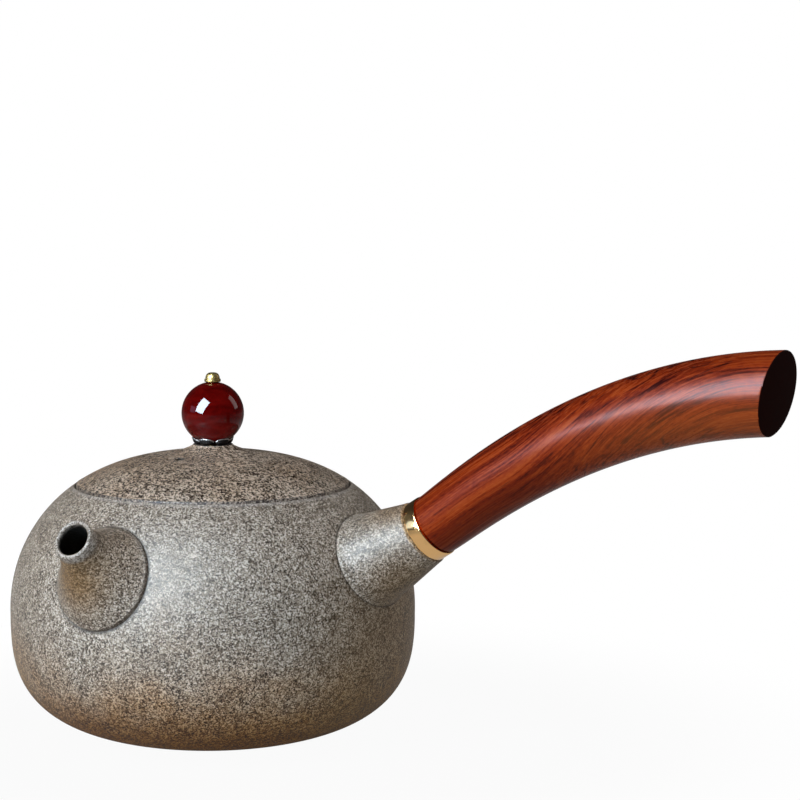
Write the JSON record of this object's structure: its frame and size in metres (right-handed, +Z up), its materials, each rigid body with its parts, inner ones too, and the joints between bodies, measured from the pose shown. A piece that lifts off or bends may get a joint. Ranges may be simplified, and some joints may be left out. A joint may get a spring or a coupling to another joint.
{
  "type": "side-handled teapot",
  "caption": "Side-handled stoneware teapot with a flared spout, a ball strainer, a curved wooden handle in a ringed socket and a lift-off lid with a bead knob.",
  "frame": {"origin": "centre of the flat foot, on the surface that the pot stands on", "axes": "+Z up along the pot's axis, +X towards the handle, -Y towards the spout"},
  "size_m": [0.2063, 0.1138, 0.1054],
  "materials": {
    "stoneware": "unglazed speckled grey-brown clay, fired hard, with a slight sheen",
    "rosewood": "red-brown streaked rosewood with a satin oil polish",
    "glue": "set two-part glue, sealed inside the socket",
    "brass": "polished, pale gold",
    "bead_red": "polished deep red agate",
    "dark_silver": "darkened silver-coloured cap with bright worn rims",
    "gold_plate": "polished gold-coloured plating",
    "silicone": "soft translucent white silicone",
    "steel": "plain stainless steel"
  },
  "bodies": {
    "pot": {"body_shell": "stoneware", "spout": "stoneware", "spout_strainer": "stoneware", "handle_socket": "stoneware", "wood_handle": "rosewood", "socket_adhesive": "glue", "handle_ferrule": "brass"},
    "lid": {"lid": "stoneware", "knob_bead": "bead_red", "knob_bead_cap": "dark_silver", "knob_bolt": "gold_plate", "knob_soft_washer": "silicone", "knob_metal_washer": "steel", "knob_nut": "gold_plate"}
  },
  "joints": [
    {"name": "lid_lift", "type": "slide", "parent": "pot", "child": "lid", "axis": [0, 0, 1], "range_m": [0, 0.06]}
  ]
}
